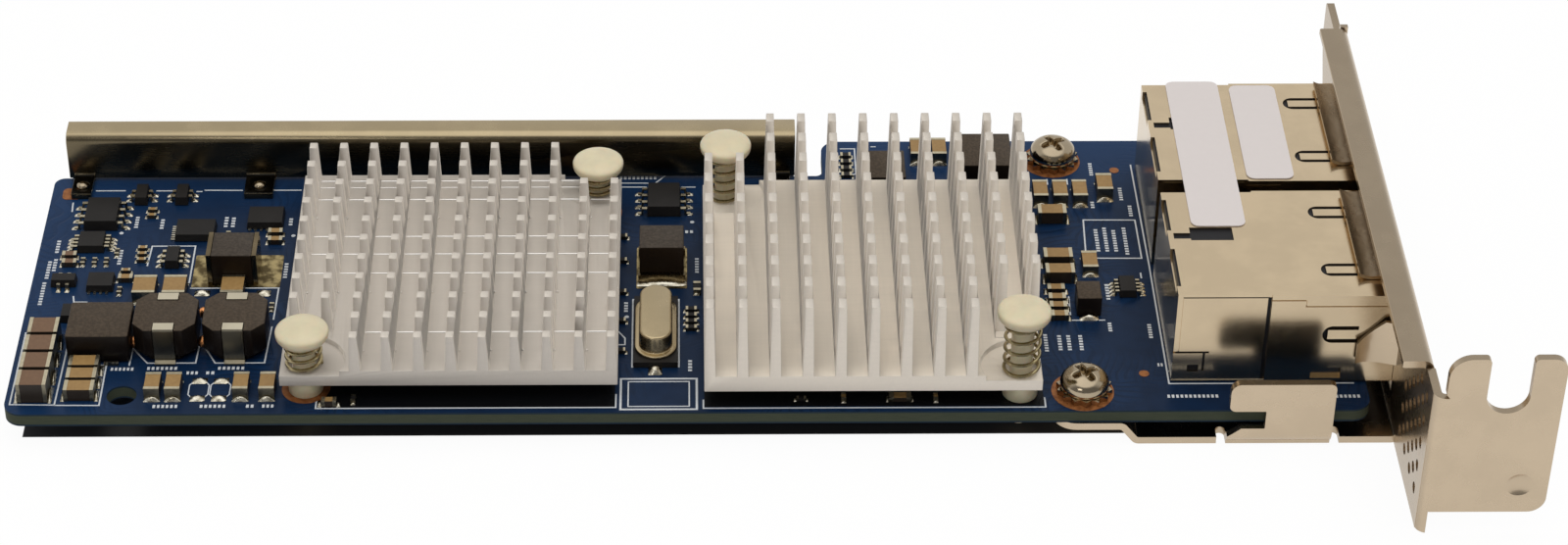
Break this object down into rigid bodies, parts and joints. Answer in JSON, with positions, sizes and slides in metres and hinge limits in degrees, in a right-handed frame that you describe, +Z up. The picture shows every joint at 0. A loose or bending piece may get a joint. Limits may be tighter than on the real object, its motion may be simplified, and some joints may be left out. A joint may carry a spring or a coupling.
{
  "type": "network interface card",
  "caption": "Low-profile network card: pin-fin heatsinks on sprung push pins, shielded RJ45 jacks, riveted stiffener bar, keyed edge connector and a folded steel bracket.",
  "frame": {"origin": "middle of the bounding box seen from above, at the height of the bracket's lowest edge", "axes": "+X along the board towards the bracket, +Y from the bracket's screw tab towards its tongue, +Z up from the solder side to the component side"},
  "size_m": [0.1608, 0.0792, 0.0227],
  "materials": {
    "board_mask": "semi-gloss blue solder mask over glass-epoxy laminate",
    "gold": "gold plating",
    "bright_steel": "bright nickel plating",
    "bracket_steel": "satin nickel plating",
    "screw_steel": "zinc plating",
    "shield_steel": "bright nickel plating",
    "jack_plastic": "black moulded plastic",
    "lens_plastic": "clear moulded lens",
    "solder": "bright solder",
    "sink_aluminium": "clear satin aluminium",
    "cream_plastic": "moulded nylon",
    "spring_steel": "bright wire",
    "chip_black": "moulded epoxy",
    "thermal_pad": "grey gap filler",
    "inductor_grey": "pressed ferrite",
    "tin": "tin plating",
    "can_steel": "drawn nickel silver can",
    "capacitor_ceramic": "fired ceramic"
  },
  "bodies": {
    "root": {"circuit_board": "board_mask", "edge_contacts": "gold", "stiffener_bar": "bright_steel", "bar_rivets": "bright_steel", "bracket": "bracket_steel", "board_screws": "screw_steel", "lock_washers": "screw_steel", "near_jack_shield": "shield_steel", "far_jack_shield": "shield_steel", "near_jack_housing": "jack_plastic", "far_jack_housing": "jack_plastic", "near_jack_contacts": "gold", "far_jack_contacts": "gold", "status_lenses": "lens_plastic", "jack_solder_joints": "solder", "left_heatsink": "sink_aluminium", "right_heatsink": "sink_aluminium", "left_push_pins": "cream_plastic", "right_push_pins": "cream_plastic", "left_push_pin_springs": "spring_steel", "right_push_pin_springs": "spring_steel", "left_controller_chip": "chip_black", "right_controller_chip": "chip_black", "left_thermal_pad": "thermal_pad", "right_thermal_pad": "thermal_pad", "plain_inductor": "inductor_grey", "clip_inductor_bodies": "inductor_grey", "inductor_clips": "tin", "choke_bodies": "inductor_grey", "choke_terminals": "tin", "rear_inductors": "inductor_grey", "crystal_can": "can_steel", "crystal_base": "chip_black", "leaded_chips": "chip_black", "leaded_chip_leads": "tin", "small_transistors": "chip_black", "small_transistor_leads": "tin", "flat_chips": "chip_black", "capacitor_bodies": "capacitor_ceramic", "capacitor_ends": "tin", "underside_capacitor_bodies": "capacitor_ceramic", "underside_capacitor_ends": "tin"}
  },
  "joints": []
}
